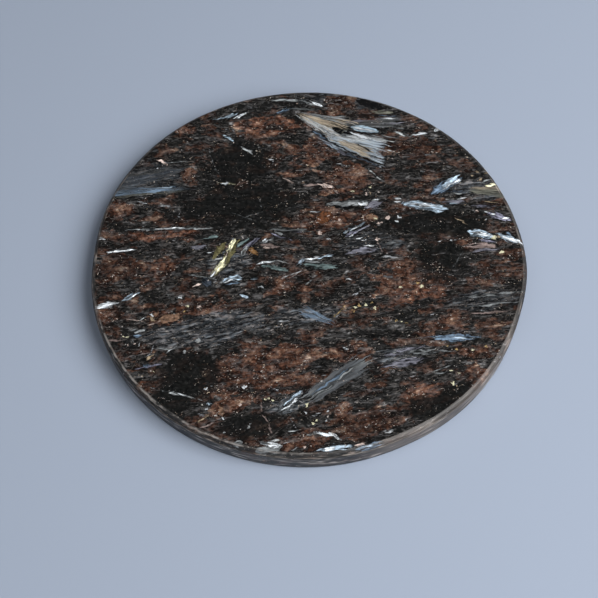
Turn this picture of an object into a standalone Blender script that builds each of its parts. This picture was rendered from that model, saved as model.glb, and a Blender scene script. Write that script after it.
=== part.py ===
# Polished stone plaque: one round slab of dark stone, sawn flat, ground round by hand and polished.
# Metres, +Z up. The origin is the middle of the underside. +X is to the right and +Y to the back
# of the plaque as it lies with its polished face up.

import math

import bmesh
import bpy

# Driving dimensions
DIAMETER = 0.100  # the circle that the wall is ground to, at its fullest
THICKNESS = 0.006
TOP_ARRIS = 0.0010  # radius of the eased edge round the polished face
BOTTOM_ARRIS = 0.0005  # radius of the eased edge round the underside
WALL_CROWN = 0.00015  # how far the wall falls back from half height to its two ends

# Where the hand grinding left the outline off its circle: the place on the rim in degrees from +X
# towards +Y, how far the outline stands out there (negative is a flat), and half the width of
# that stretch in degrees
GRINDING = (
    (127, 0.00025, 16),
    (176, -0.00055, 12),
    (292, -0.00025, 12),
    (354, 0.00055, 11),
)

# Fineness of the solid
OUTLINE_POINTS = 180
WALL_LOOPS = 3
TOP_ARRIS_STEPS = 5
BOTTOM_ARRIS_STEPS = 3

# The stone as seen from a step away, under its polish
STONE_COLOUR = (0.062, 0.056, 0.053, 1.0)
STONE_ROUGHNESS = 0.18
STONE_IOR = 1.64


def clear_scene():
    for obj in list(bpy.data.objects):
        bpy.data.objects.remove(obj, do_unlink=True)


def outline_radius(angle):
    """Distance from the grinding centre to the rim, at an angle in degrees."""
    radius = DIAMETER / 2
    for place, stand_out, half_width in GRINDING:
        away = (angle - place + 180) % 360 - 180
        radius += stand_out * math.exp(-((away / half_width) ** 2))
    return radius


def ground_outline(bm):
    """A flat disc with the outline of the slab, its box centred on the origin."""
    bmesh.ops.create_circle(bm, cap_ends=True, segments=OUTLINE_POINTS, radius=1.0)
    for vert in bm.verts:
        vert.co *= outline_radius(math.degrees(math.atan2(vert.co.y, vert.co.x)))
    sides = [[vert.co[axis] for vert in bm.verts] for axis in (0, 1)]
    middle = [(min(side) + max(side)) / 2 for side in sides]
    bmesh.ops.translate(bm, verts=bm.verts, vec=(-middle[0], -middle[1], 0))


def raise_slab(bm):
    """The disc made a slab that stands on z = 0."""
    lifted = bmesh.ops.extrude_face_region(bm, geom=bm.faces[:])["geom"]
    top = [item for item in lifted if isinstance(item, bmesh.types.BMVert)]
    bmesh.ops.translate(bm, verts=top, vec=(0, 0, THICKNESS))
    bmesh.ops.recalc_face_normals(bm, faces=bm.faces)


def crown_wall(bm):
    """Loops round the wall, which falls back a little towards both faces."""
    upright = [edge for edge in bm.edges if abs(edge.verts[0].co.z - edge.verts[1].co.z) > THICKNESS / 2]
    bmesh.ops.subdivide_edges(bm, edges=upright, cuts=WALL_LOOPS)
    for vert in bm.verts:
        height = 2 * vert.co.z / THICKNESS - 1
        vert.co.xy *= 1 - WALL_CROWN * height**2 / vert.co.xy.length


def ease_edge(bm, height, radius, steps):
    """The sharp edge at one height made round."""
    rim = [edge for edge in bm.edges if all(abs(vert.co.z - height) < 1e-7 for vert in edge.verts)]
    bmesh.ops.bevel(
        bm,
        geom=rim,
        offset=radius,
        offset_type="OFFSET",
        segments=steps,
        profile=0.5,
        affect="EDGES",
        clamp_overlap=False,
        material=-1,
    )


def stone_material():
    material = bpy.data.materials.new("stone")
    material.use_nodes = True
    surface = material.node_tree.nodes["Principled BSDF"]
    surface.inputs["Base Color"].default_value = STONE_COLOUR
    surface.inputs["Roughness"].default_value = STONE_ROUGHNESS
    surface.inputs["Metallic"].default_value = 0.0
    surface.inputs["IOR"].default_value = STONE_IOR
    return material


def stone_disc():
    bm = bmesh.new()
    ground_outline(bm)
    raise_slab(bm)
    crown_wall(bm)
    ease_edge(bm, THICKNESS, TOP_ARRIS, TOP_ARRIS_STEPS)
    ease_edge(bm, 0.0, BOTTOM_ARRIS, BOTTOM_ARRIS_STEPS)
    bmesh.ops.recalc_face_normals(bm, faces=bm.faces)
    mesh = bpy.data.meshes.new("stone_disc")
    bm.to_mesh(mesh)
    bm.free()
    mesh.shade_smooth()
    mesh.set_sharp_from_angle(angle=math.radians(30))
    mesh.materials.append(stone_material())
    disc = bpy.data.objects.new("stone_disc", mesh)
    bpy.context.scene.collection.objects.link(disc)
    return disc


clear_scene()
stone_disc()
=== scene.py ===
import math
import random

import bmesh
import bpy
from mathutils import Matrix, Vector, noise


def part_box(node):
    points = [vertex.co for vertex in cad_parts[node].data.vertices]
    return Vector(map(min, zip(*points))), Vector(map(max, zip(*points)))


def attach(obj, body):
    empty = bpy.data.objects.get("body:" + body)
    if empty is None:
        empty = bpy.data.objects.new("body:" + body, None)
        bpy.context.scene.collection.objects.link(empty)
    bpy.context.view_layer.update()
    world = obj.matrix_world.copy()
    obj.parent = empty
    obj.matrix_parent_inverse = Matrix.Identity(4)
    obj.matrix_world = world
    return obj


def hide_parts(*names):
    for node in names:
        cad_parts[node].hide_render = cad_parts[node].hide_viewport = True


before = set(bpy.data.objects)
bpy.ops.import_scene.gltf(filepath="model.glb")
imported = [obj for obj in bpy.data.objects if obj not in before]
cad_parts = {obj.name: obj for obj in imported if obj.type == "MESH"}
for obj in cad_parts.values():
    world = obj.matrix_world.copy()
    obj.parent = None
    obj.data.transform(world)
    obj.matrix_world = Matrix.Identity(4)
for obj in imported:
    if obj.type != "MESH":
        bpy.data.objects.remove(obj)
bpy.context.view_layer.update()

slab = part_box("stone_disc")
mm = 0.001
faceHeight = slab[1].z  # the polished face

# Camera: where the plaque was seen from
cameraSpec = {
    "lens": 70.0,  # mm, on a 36 mm sensor
    "sensor": 36.0,
    "imageSize": 598,
    "elevation": 58.85,  # degrees above the floor
    "roll": -1.88,
    "distance": 0.2687,
    "lookAt": Vector((-0.00255, -0.00783, 0.0)),
}


def cameraPlace(spec):
    tilt = Matrix.Rotation(math.radians(90 - spec["elevation"]), 4, "X")
    roll = Matrix.Rotation(math.radians(spec["roll"]), 4, "Z")
    back = tilt @ Vector((0, 0, 1))
    return Matrix.Translation(spec["lookAt"] + back * spec["distance"]) @ tilt @ roll


def makeCamera(spec):
    lens = bpy.data.cameras.new("camera")
    lens.lens = spec["lens"]
    lens.sensor_width = spec["sensor"]
    lens.clip_start = 0.01
    camera = bpy.data.objects.new("camera", lens)
    camera.matrix_world = cameraPlace(spec)
    bpy.context.scene.collection.objects.link(camera)
    bpy.context.scene.camera = camera


# The spot on the polished face, in mm, that shows at a pixel of the photograph
def onFace(pixel):
    spec = cameraSpec
    middle = spec["imageSize"] / 2
    step = spec["sensor"] / spec["imageSize"] / spec["lens"]
    view = cameraPlace(spec)
    eye = view.translation
    ray = view.to_3x3() @ Vector(((pixel[0] - middle) * step, (middle - pixel[1]) * step, -1))
    spot = eye + ray * ((faceHeight - eye.z) / ray.z)
    return Vector((spot.x, spot.y)) / mm


makeCamera(cameraSpec)
print("camera placed")


# Node helpers
def newNode(tree, kind, inputs=None, **settings):
    made = tree.nodes.new(kind)
    for name, value in settings.items():
        setattr(made, name, value)
    for name, value in (inputs or {}).items():
        if isinstance(value, bpy.types.NodeSocket):
            tree.links.new(value, made.inputs[name])
        else:
            made.inputs[name].default_value = value
    return made


def calc(tree, operation, first, second=0.0, third=0.0):
    return newNode(tree, "ShaderNodeMath", {0: first, 1: second, 2: third}, operation=operation).outputs[0]


def vectorCalc(tree, operation, first, second, third=(0, 0, 0)):
    made = newNode(tree, "ShaderNodeVectorMath", {0: first, 1: second, 2: third}, operation=operation)
    return made.outputs[0]


def dotProduct(tree, first, second):
    made = newNode(tree, "ShaderNodeVectorMath", {0: first, 1: second}, operation="DOT_PRODUCT")
    return made.outputs["Value"]


def lengthOf(tree, vector):
    return newNode(tree, "ShaderNodeVectorMath", {0: vector}, operation="LENGTH").outputs["Value"]


def turnedBy(tree, space, angle):
    inputs = {"Vector": space, "Angle": angle}
    return newNode(tree, "ShaderNodeVectorRotate", inputs, rotation_type="Z_AXIS").outputs[0]


def joined(tree, parts):
    return newNode(tree, "ShaderNodeCombineXYZ", parts).outputs[0]


def axesOf(tree, vector):
    return newNode(tree, "ShaderNodeSeparateXYZ", {0: vector}).outputs


def channelsOf(tree, colour):
    return newNode(tree, "ShaderNodeSeparateColor", {0: colour}).outputs


def ease(tree, value, low, high):
    inputs = {"Value": value, "From Min": low, "From Max": high}
    return newNode(tree, "ShaderNodeMapRange", inputs, interpolation_type="SMOOTHSTEP").outputs[0]


def mixColour(tree, share, first, second, blend="MIX"):
    inputs = {0: share, 6: first, 7: second}
    return newNode(tree, "ShaderNodeMix", inputs, data_type="RGBA", blend_type=blend).outputs[2]


def mixValue(tree, share, first, second):
    return newNode(tree, "ShaderNodeMix", {0: share, 2: first, 3: second}, data_type="FLOAT").outputs[0]


# Colour times a value
def shade(tree, colour, value):
    grey = newNode(tree, "ShaderNodeCombineColor", {0: value, 1: value, 2: value}).outputs[0]
    return mixColour(tree, 1.0, colour, grey, "MULTIPLY")


def rampNode(tree, value, stops):
    made = newNode(tree, "ShaderNodeValToRGB", {"Fac": value})
    band = made.color_ramp
    while len(band.elements) < len(stops):
        band.elements.new(0.5)
    for element, (position, *colour) in zip(band.elements, stops):
        element.position = position
        element.color = colour if len(colour) == 4 else (*colour, 1.0)
    return made


def grainNoise(tree, space, stretch, detail=2.0, roughness=0.5, wanted="Fac"):
    scaled = vectorCalc(tree, "MULTIPLY", space, stretch)
    inputs = {"Vector": scaled, "Scale": 1.0, "Detail": detail, "Roughness": roughness}
    return newNode(tree, "ShaderNodeTexNoise", inputs).outputs[wanted]


def grainCells(tree, space):
    inputs = {"Vector": space, "Scale": 1.0, "Randomness": 0.9}
    return newNode(tree, "ShaderNodeTexVoronoi", inputs, feature="F1").outputs


# A node group with named sockets: each input is (name, kind, value)
def newGroup(name, inputs, outputs):
    kinds = {"float": "NodeSocketFloat", "vector": "NodeSocketVector", "colour": "NodeSocketColor"}
    group = bpy.data.node_groups.new(name, "ShaderNodeTree")
    for label, kind, value in inputs:
        socket = group.interface.new_socket(label, in_out="INPUT", socket_type=kinds[kind])
        if value is not None:
            socket.default_value = value
    for label, kind in outputs:
        group.interface.new_socket(label, in_out="OUTPUT", socket_type=kinds[kind])
    given = group.nodes.new("NodeGroupInput").outputs
    result = group.nodes.new("NodeGroupOutput").inputs
    return group, given, result


def placeGroup(tree, group, values):
    made = tree.nodes.new("ShaderNodeGroup")
    made.node_tree = group
    for name, value in values.items():
        if name not in made.inputs:
            continue
        if isinstance(value, bpy.types.NodeSocket):
            tree.links.new(value, made.inputs[name])
        else:
            made.inputs[name].default_value = value
    return made.outputs


# How far inside its edge a place in a crystal is, in mm, sets its shade and cover: a dark outline,
# then the tint. Each stop is its position, the shade three times and the cover
edgeSpec = {
    "outside": 0.40,
    "inside": 0.25,
    "outlined": [
        (0.0, 0.0, 0.0, 0.0, 0.0),
        (0.30, 0.0, 0.0, 0.0, 0.18),
        (0.56, 0.0, 0.0, 0.0, 0.58),
        (0.66, 0.30, 0.30, 0.30, 0.80),
        (0.92, 1.0, 1.0, 1.0, 1.0),
    ],
    "plain": [(0.0, 1.0, 1.0, 1.0, 0.0), (0.58, 1.0, 1.0, 1.0, 0.0), (0.95, 1.0, 1.0, 1.0, 1.0)],
}
edgeReach = edgeSpec["outside"] + edgeSpec["inside"]


# Lays a tint over the colour underneath; the turn is kept for the fibres
def layOver(tree, given, result, inside, tint, turn, stops):
    edge = rampNode(tree, inside, stops).outputs
    if stops == edgeSpec["outlined"]:
        tint = mixColour(tree, 1.0, tint, edge["Color"], "MULTIPLY")
    covered = mixColour(tree, edge["Alpha"], given["Colour"], tint)
    tree.links.new(covered, result["Colour"])
    if turn is not None:
        tree.links.new(mixValue(tree, edge["Alpha"], given["Turn So Far"], turn), result["Turn So Far"])


# How far inside its edge a place in a crystal is. The half width falls to nothing at the two tips,
# slower for a blunt crystal; across, the half width and the edge are shares of the reach of the edge
def insideEdge(tree, along, across, halfWidth, loss, bluntness, edge):
    tip = calc(tree, "MULTIPLY", along, along)
    if bluntness is not None:
        tip = calc(tree, "POWER", tip, bluntness)
    width = calc(tree, "MULTIPLY_ADD", tip, loss, halfWidth)
    inside = calc(tree, "SUBTRACT", width, calc(tree, "ABSOLUTE", across))
    return calc(tree, "ADD", inside, edge)


# Groups: one crystal laid over what is under it. Along is its direction over its half length, Across
# the direction at right angles to it over the reach of the edge, and Loss the half width, negative
def crystalGroup(name, stops, bends=False, blunt=False, turns=True):
    inputs = [
        ("Space", "vector", None),
        ("Edge", "float", 0.0),
        ("Centre", "vector", (0, 0, 0)),
        ("Along", "vector", (1, 0, 0)),
        ("Across", "vector", (0, 1, 0)),
        ("Half Width", "float", 1.0),
        ("Loss", "float", -1.0),
        ("Tint", "colour", (0.3, 0.3, 0.3, 1)),
        ("Colour", "colour", None),
    ]
    outputs = [("Colour", "colour")]
    if bends:
        inputs.append(("Bend", "float", 0.0))
    if blunt:
        inputs.append(("Bluntness", "float", 2.0))
    if turns:
        inputs += [("Turn", "float", 0.0), ("Turn So Far", "float", 0.0)]
        outputs.append(("Turn So Far", "float"))
    tree, given, result = newGroup(name, inputs, outputs)
    away = vectorCalc(tree, "SUBTRACT", given["Space"], given["Centre"])
    along = dotProduct(tree, away, given["Along"])
    across = dotProduct(tree, away, given["Across"])
    if bends:
        bow = calc(tree, "MULTIPLY", calc(tree, "MULTIPLY", along, along), given["Bend"])
        across = calc(tree, "ADD", across, bow)
    bluntness = given["Bluntness"] if blunt else None
    inside = insideEdge(tree, along, across, given["Half Width"], given["Loss"], bluntness, given["Edge"])
    layOver(tree, given, result, inside, given["Tint"], given["Turn"] if turns else None, stops)
    return tree


# Groups: crystals strewn through the stone, one at most in each cell
strewnTints = [
    (0.0, 0.022, 0.021, 0.020),
    (0.25, 0.050, 0.048, 0.048),
    (0.45, 0.090, 0.091, 0.097),
    (0.60, 0.15, 0.142, 0.142),
    (0.72, 0.20, 0.152, 0.125),
    (0.84, 0.27, 0.285, 0.31),
    (1.0, 0.58, 0.60, 0.62),
]


def strewnGroup():
    inputs = [
        ("Space", "vector", None),
        ("Edge", "float", 0.0),
        ("Cell", "vector", (5, 2, 2)),
        ("Shift", "vector", (0, 0, 0)),
        ("Half Length", "float", 2.0),
        ("Half Width", "float", 0.3),
        ("Spread", "float", 0.6),
        ("Share", "float", 0.4),
        ("Brightness", "float", 1.0),
        ("Colour", "colour", None),
        ("Turn So Far", "float", 0.0),
    ]
    tree, given, result = newGroup("strewnCrystals", inputs, [("Colour", "colour"), ("Turn So Far", "float")])
    shifted = vectorCalc(tree, "ADD", given["Space"], given["Shift"])
    cells = vectorCalc(tree, "DIVIDE", shifted, given["Cell"])
    found = grainCells(tree, cells)
    own = vectorCalc(tree, "SUBTRACT", cells, found["Position"])
    own = vectorCalc(tree, "MULTIPLY", own, given["Cell"])
    chance = channelsOf(tree, found["Color"])
    more = newNode(tree, "ShaderNodeTexWhiteNoise", {"Vector": found["Position"]}).outputs["Color"]
    more = channelsOf(tree, more)
    turn = calc(tree, "MULTIPLY", calc(tree, "SUBTRACT", chance[0], 0.5), given["Spread"])
    back = calc(tree, "MULTIPLY", turn, -1.0)
    split = axesOf(tree, turnedBy(tree, own, back))
    halfLength = calc(tree, "MULTIPLY", calc(tree, "MULTIPLY_ADD", more[0], 0.6, 0.4), given["Half Length"])
    halfWidth = calc(tree, "MULTIPLY", calc(tree, "MULTIPLY_ADD", more[1], 0.7, 0.3), given["Half Width"])
    along = calc(tree, "DIVIDE", split[0], halfLength)
    depth = calc(tree, "MULTIPLY", calc(tree, "MULTIPLY", split[2], split[2]), 0.5)
    across = calc(tree, "ADD", calc(tree, "ABSOLUTE", split[1]), depth)
    across = calc(tree, "MULTIPLY", across, 1 / edgeReach)
    absent = calc(tree, "GREATER_THAN", chance[1], given["Share"])
    edge = calc(tree, "MULTIPLY_ADD", absent, -20.0, given["Edge"])
    halfWidth = calc(tree, "MULTIPLY", halfWidth, 1 / edgeReach)
    loss = calc(tree, "MULTIPLY", halfWidth, -1.0)
    bluntness = calc(tree, "MULTIPLY_ADD", more[2], 1.2, 0.5)
    inside = insideEdge(tree, along, across, halfWidth, loss, bluntness, edge)
    tint = rampNode(tree, calc(tree, "MULTIPLY", chance[2], given["Brightness"]), strewnTints).outputs[0]
    layOver(tree, given, result, inside, tint, turn, edgeSpec["outlined"])
    return tree


# Groups: a spray of fibres that opens out from its root. Along is its direction over its length, Across
# the direction at right angles to it, and the tints follow each other from its left side to its right
def sprayGroup():
    inputs = [
        ("Space", "vector", None),
        ("Root", "vector", (0, 0, 0)),
        ("Along", "vector", (1, 0, 0)),
        ("Across", "vector", (0, 1, 0)),
        ("Root Width", "float", 0.5),
        ("Opening", "float", 2.0),
        ("Fibres", "float", 6.0),
        ("Seed", "float", 0.0),
        ("Left", "colour", (0.3, 0.3, 0.3, 1)),
        ("Middle", "colour", (0.3, 0.3, 0.3, 1)),
        ("Right", "colour", (0.3, 0.3, 0.3, 1)),
        ("Cover", "float", 1.0),
        ("Contrast", "float", 4.0),
        ("Colour", "colour", None),
    ]
    tree, given, result = newGroup("spray", inputs, [("Colour", "colour")])
    away = vectorCalc(tree, "SUBTRACT", given["Space"], given["Root"])
    along = dotProduct(tree, away, given["Along"])
    across = dotProduct(tree, away, given["Across"])
    opened = calc(tree, "MULTIPLY_ADD", along, given["Opening"], given["Root Width"])
    side = calc(tree, "DIVIDE", across, calc(tree, "MAXIMUM", opened, 0.1))
    lane = calc(tree, "MULTIPLY", side, given["Fibres"])
    length = calc(tree, "MULTIPLY", along, 2.2)
    place = joined(tree, {0: length, 1: lane, 2: given["Seed"]})
    fine = grainNoise(tree, place, (1, 1, 1), 1.0, 0.7)
    bands = grainNoise(tree, place, (0.7, 0.3, 1), 0.0, 0.5)

    # its sides are frayed, and each fibre ends at its own length
    sides = calc(tree, "SUBTRACT", 1.0, calc(tree, "ABSOLUTE", side))
    sides = ease(tree, calc(tree, "ADD", sides, calc(tree, "MULTIPLY_ADD", fine, 1.0, -0.5)), 0.0, 0.25)
    ends = calc(tree, "MINIMUM", along, calc(tree, "SUBTRACT", 1.0, along))
    ends = ease(tree, calc(tree, "ADD", ends, calc(tree, "MULTIPLY_ADD", fine, 0.9, -0.45)), 0.0, 0.10)
    mask = calc(tree, "MULTIPLY", calc(tree, "MULTIPLY", sides, ends), given["Cover"])

    tone = calc(tree, "MULTIPLY_ADD", bands, 2.6, calc(tree, "ADD", side, -1.3))
    tint = mixColour(tree, ease(tree, tone, -0.7, -0.1), given["Right"], given["Middle"])
    tint = mixColour(tree, ease(tree, tone, 0.1, 0.7), tint, given["Left"])
    light = calc(tree, "MULTIPLY_ADD", calc(tree, "SUBTRACT", fine, 0.5), given["Contrast"], 1.1)
    light = calc(tree, "MAXIMUM", light, 0.12)
    tree.links.new(mixColour(tree, mask, given["Colour"], shade(tree, tint, light)), result["Colour"])
    return tree


# Groups: how deep a place is in one rounded patch, 1 at its middle and 0 at its edge
def patchGroup():
    inputs = [
        ("Space", "vector", None),
        ("Centre", "vector", (0, 0, 0)),
        ("Half Size", "vector", (5, 3, 50)),
        ("Depth", "float", 0.0),
    ]
    tree, given, result = newGroup("patch", inputs, [("Depth", "float")])
    away = vectorCalc(tree, "SUBTRACT", given["Space"], given["Centre"])
    away = vectorCalc(tree, "DIVIDE", away, given["Half Size"])
    depth = calc(tree, "SUBTRACT", 1.0, lengthOf(tree, away))
    tree.links.new(calc(tree, "MAXIMUM", given["Depth"], depth), result["Depth"])
    return tree


# Groups: bright dots, one at most in each cell
speckTints = [
    (0.0, 0.20, 0.20, 0.20),
    (0.35, 0.42, 0.36, 0.32),
    (0.6, 0.62, 0.62, 0.62),
    (0.8, 0.70, 0.56, 0.36),
    (0.92, 0.80, 0.72, 0.60),
    (1.0, 0.9, 0.9, 0.92),
]


def specksGroup():
    inputs = [
        ("Space", "vector", None),
        ("Cell", "float", 1.1),
        ("Size", "float", 0.22),
        ("Share", "float", 0.2),
        ("Colour", "colour", None),
    ]
    tree, given, result = newGroup("specks", inputs, [("Colour", "colour")])
    cells = joined(tree, {0: given["Cell"], 1: given["Cell"], 2: given["Cell"]})
    cells = vectorCalc(tree, "DIVIDE", given["Space"], cells)
    found = grainCells(tree, cells)
    chance = channelsOf(tree, found["Color"])
    reach = calc(tree, "MULTIPLY", calc(tree, "MULTIPLY_ADD", chance[0], 0.7, 0.3), given["Size"])
    gap = calc(tree, "DIVIDE", calc(tree, "MULTIPLY", found["Distance"], given["Cell"]), reach)
    present = calc(tree, "LESS_THAN", chance[1], given["Share"])
    mask = calc(tree, "MULTIPLY", ease(tree, gap, 1.0, 0.45), present)
    tint = rampNode(tree, chance[2], speckTints).outputs[0]
    tree.links.new(mixColour(tree, mask, given["Colour"], tint), result["Colour"])
    return tree


# The stone's own colours, as light reflected
tints = {
    "white": (0.70, 0.74, 0.78),
    "paleBlue": (0.40, 0.50, 0.60),
    "skyBlue": (0.46, 0.60, 0.72),
    "mistBlue": (0.25, 0.29, 0.33),
    "steelBlue": (0.17, 0.24, 0.33),
    "slate": (0.055, 0.068, 0.088),
    "slateGrey": (0.085, 0.092, 0.100),
    "greyTeal": (0.115, 0.155, 0.155),
    "lavender": (0.25, 0.25, 0.33),
    "lavenderGrey": (0.15, 0.15, 0.18),
    "paleGrey": (0.33, 0.35, 0.36),
    "midGrey": (0.16, 0.17, 0.175),
    "dimGrey": (0.075, 0.08, 0.082),
    "beige": (0.23, 0.195, 0.15),
    "sand": (0.30, 0.25, 0.185),
    "tan": (0.36, 0.28, 0.19),
    "gold": (0.48, 0.34, 0.15),
    "cream": (0.78, 0.75, 0.52),
    "olive": (0.15, 0.135, 0.065),
    "oliveGrey": (0.135, 0.135, 0.11),
    "pinkWhite": (0.62, 0.50, 0.45),
    "pinkGrey": (0.26, 0.20, 0.185),
    "copper": (0.20, 0.120, 0.080),
    "rust": (0.125, 0.050, 0.023),
    "amber": (0.24, 0.13, 0.055),
    "black": (0.006, 0.006, 0.0065),
}

# Patches of the ground mass: centre and half sizes, in the photograph's pixels
patches = {
    "brown": [
        ((268, 125), (36, 9)),
        ((186, 129), (11, 5)),
        ((274, 158), (9, 11)),
        ((313, 153), (24, 11)),
        ((340, 104), (18, 9)),
        ((408, 148), (32, 9)),
        ((343, 181), (28, 17)),
        ((312, 220), (24, 13)),
        ((345, 218), (28, 10)),
        ((117, 214), (17, 10)),
        ((168, 236), (42, 6)),
        ((120, 269), (24, 11)),
        ((163, 271), (13, 9)),
        ((107, 316), (13, 9)),
        ((197, 306), (26, 8)),
        ((160, 318), (16, 8)),
        ((463, 241), (9, 8)),
        ((514, 228), (8, 6)),
        ((511, 254), (14, 8)),
        ((417, 281), (38, 25)),
        ((442, 324), (23, 8)),
        ((255, 373), (58, 25)),
        ((347, 353), (24, 9)),
        ((424, 394), (24, 13)),
        ((368, 423), (42, 13)),
        ((344, 412), (10, 8)),
        ((228, 407), (22, 8)),
        ((147, 386), (14, 7)),
        ((480, 376), (14, 12)),
        ((189, 175), (6, 8)),
        ((241, 185), (8, 5)),
        ((295, 350), (30, 8)),
        ((478, 352), (20, 8)),
        ((290, 285), (24, 9)),
        ((300, 440), (34, 10)),
    ],
    "black": [
        ((241, 164), (34, 20)),
        ((240, 205), (60, 22)),
        ((187, 377), (34, 26)),
        ((464, 225), (27, 15)),
        ((176, 404), (18, 13)),
        ((426, 222), (48, 12)),
        ((439, 260), (27, 22)),
        ((438, 405), (34, 15)),
        ((300, 120), (6, 5)),
        ((460, 395), (18, 14)),
        ((250, 425), (30, 14)),
        ((150, 405), (14, 8)),
    ],
    # paler parts of the brown, and stretches where the whole ground is duller
    "glowing": [
        ((268, 125), (34, 9)),
        ((290, 168), (12, 8)),
        ((168, 236), (42, 6)),
        ((164, 318), (18, 6)),
        ((425, 296), (28, 11)),
        ((424, 394), (22, 11)),
    ],
    "dull": [
        ((150, 180), (40, 18)),
        ((340, 104), (20, 9)),
        ((408, 148), (34, 11)),
        ((118, 269), (26, 12)),
        ((372, 243), (38, 12)),
        ((490, 298), (40, 16)),
        ((511, 254), (16, 9)),
        ((362, 423), (42, 12)),
    ],
    "fibrous": [
        ((202, 331), (74, 17)),
        ((300, 315), (36, 9)),
        ((150, 180), (36, 18)),
        ((485, 300), (36, 13)),
        ((400, 355), (30, 10)),
        ((480, 190), (28, 12)),
        ((370, 243), (36, 12)),
        ((285, 405), (26, 9)),
        ((230, 262), (24, 14)),
        ((345, 100), (50, 10)),
    ],
}

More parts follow.
